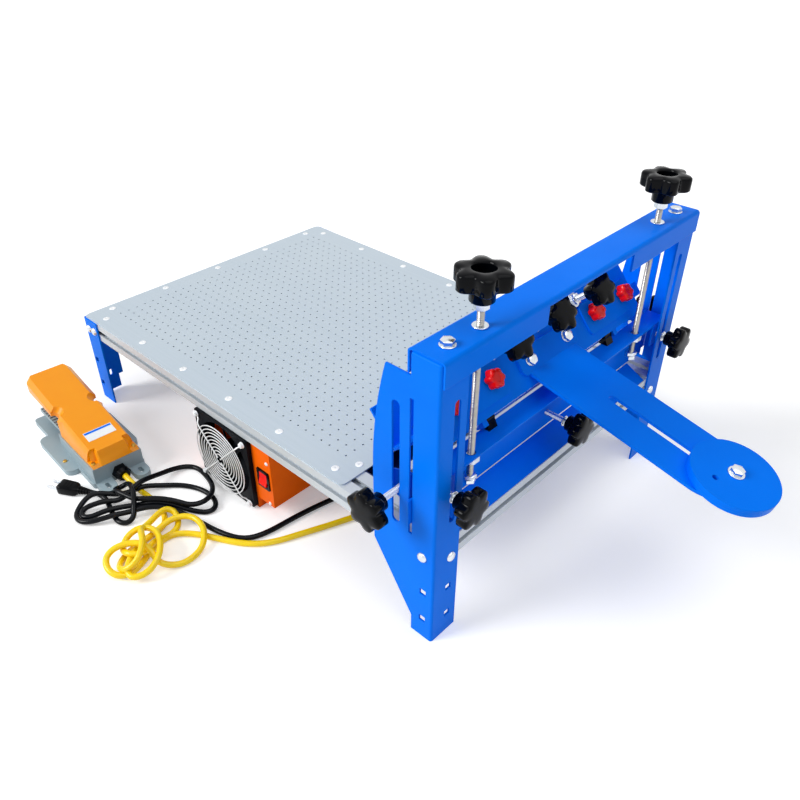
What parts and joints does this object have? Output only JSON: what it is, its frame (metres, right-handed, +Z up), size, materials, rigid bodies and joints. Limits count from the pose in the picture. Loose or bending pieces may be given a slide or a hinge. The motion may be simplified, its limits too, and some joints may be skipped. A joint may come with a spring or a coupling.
{
  "type": "flatbed screen printing machine",
  "caption": "Table-top vacuum flatbed screen printer with a perforated table, a lifting hinged screen clamp, a counterweight arm, an extractor fan and a foot switch.",
  "frame": {"origin": "on the floor under the centre of the perforated table", "axes": "+Z up, +Y from the printer's front edge towards the head with the uprights, +X towards the side with the fan, the switch and the foot switch"},
  "size_m": [0.7636, 1.0027, 0.4535],
  "materials": {
    "painted_blue": "glossy royal blue stove enamel",
    "painted_orange": "glossy orange enamel",
    "table_steel": "brushed stainless sheet",
    "rail_aluminium": "satin anodised",
    "tray_steel": "dark blue enamel",
    "bright_steel": "bright zinc plated",
    "black_plastic": "glossy black moulding",
    "fan_black": "matt black moulding",
    "red_plastic": "glossy red moulding",
    "guard_chrome": "bright chromed wire",
    "pedal_grey": "grey lacquered die casting",
    "pedal_orange": "glossy orange moulding",
    "cord_black": "black sheath",
    "cord_yellow": "yellow sheath"
  },
  "bodies": {
    "machine": {"platen_sheet": "table_steel", "side_rail_right": "rail_aluminium", "side_rail_left": "rail_aluminium", "front_cross_rail": "rail_aluminium", "inner_cross_rail": "rail_aluminium", "rear_cross_rail": "rail_aluminium", "vacuum_tray": "tray_steel", "front_leg_right": "painted_blue", "front_leg_left": "painted_blue", "upright_right": "painted_blue", "upright_left": "painted_blue", "top_beam": "painted_blue", "fan_housing": "fan_black", "fan_guard": "guard_chrome", "control_box": "painted_orange", "switch_bezel": "black_plastic", "mains_gland": "black_plastic", "foot_cord_gland": "black_plastic", "pedal_base": "pedal_grey", "pedal_cover": "pedal_orange", "pedal_gland": "black_plastic", "mains_cord_run": "cord_black", "mains_cord_hank": "cord_black", "mains_plug": "black_plastic", "foot_cord_run": "cord_yellow", "foot_cord_lead": "cord_yellow", "foot_cord_bundle": "cord_yellow"},
    "carriage": {"lift_carriage": "painted_blue", "hinge_block_right": "black_plastic", "hinge_block_left": "black_plastic", "lift_nut_right": "bright_steel", "lift_nut_left": "bright_steel", "side_lock_knob_right": "black_plastic", "side_lock_knob_left": "black_plastic", "rear_lock_knob_right": "black_plastic", "rear_lock_knob_left": "black_plastic", "centre_lock_knob": "black_plastic"},
    "right_screw": {"lift_screw_right": "bright_steel", "lift_knob_right": "black_plastic"},
    "left_screw": {"lift_screw_left": "bright_steel", "lift_knob_left": "black_plastic"},
    "screen_clamp": {"hinge_shaft": "bright_steel", "clamp_plate": "painted_blue", "clamp_channel": "painted_blue", "registration_plate_right": "painted_blue", "registration_plate_left": "painted_blue", "registration_knob_right_outer": "red_plastic", "registration_knob_right_inner": "red_plastic", "registration_knob_left_outer": "red_plastic", "registration_knob_left_inner": "red_plastic", "clamp_knob_1": "black_plastic", "clamp_knob_2": "black_plastic", "clamp_knob_3": "black_plastic", "counterweight_arm": "painted_blue"},
    "counterweight": {"counterweight_discs": "painted_blue"},
    "fan_wheel": {"fan_rotor": "fan_black"},
    "treadle": {"pedal_treadle": "pedal_grey"},
    "rocker": {"power_rocker": "red_plastic"}
  },
  "joints": [
    {"name": "carriage_lift", "type": "slide", "parent": "machine", "child": "carriage", "axis": [0, 0, 1], "range_m": [-0.012, 0.006]},
    {"name": "right_screw_turn", "type": "hinge", "parent": "machine", "child": "right_screw", "pos_m": [0.176, 0.43, 0.39], "axis": [0, 0, 1], "continuous": true},
    {"name": "left_screw_turn", "type": "hinge", "parent": "machine", "child": "left_screw", "pos_m": [-0.176, 0.43, 0.39], "axis": [0, 0, 1], "continuous": true},
    {"name": "screen_swing", "type": "hinge", "parent": "carriage", "child": "screen_clamp", "pos_m": [0, 0.408, 0.243], "axis": [1, 0, 0], "range_deg": [0, 50]},
    {"name": "counterweight_slide", "type": "slide", "parent": "screen_clamp", "child": "counterweight", "axis": [0, -0.9744, 0.225], "range_m": [-0.005, 0.14]},
    {"name": "fan_spin", "type": "hinge", "parent": "machine", "child": "fan_wheel", "pos_m": [0.24, 0.057, 0.062], "axis": [1, 0, 0], "continuous": true},
    {"name": "treadle_press", "type": "hinge", "parent": "machine", "child": "treadle", "pos_m": [0.3391, -0.20397, 0.024], "axis": [0.9979, -0.0645, 0], "range_deg": [0, 6], "stiffness_Nm_per_rad": 2, "springref_deg": -5.73},
    {"name": "rocker_tilt", "type": "hinge", "parent": "machine", "child": "rocker", "pos_m": [0.243, 0.138, 0.066], "axis": [0, 1, 0], "range_deg": [0, 18]}
  ]
}
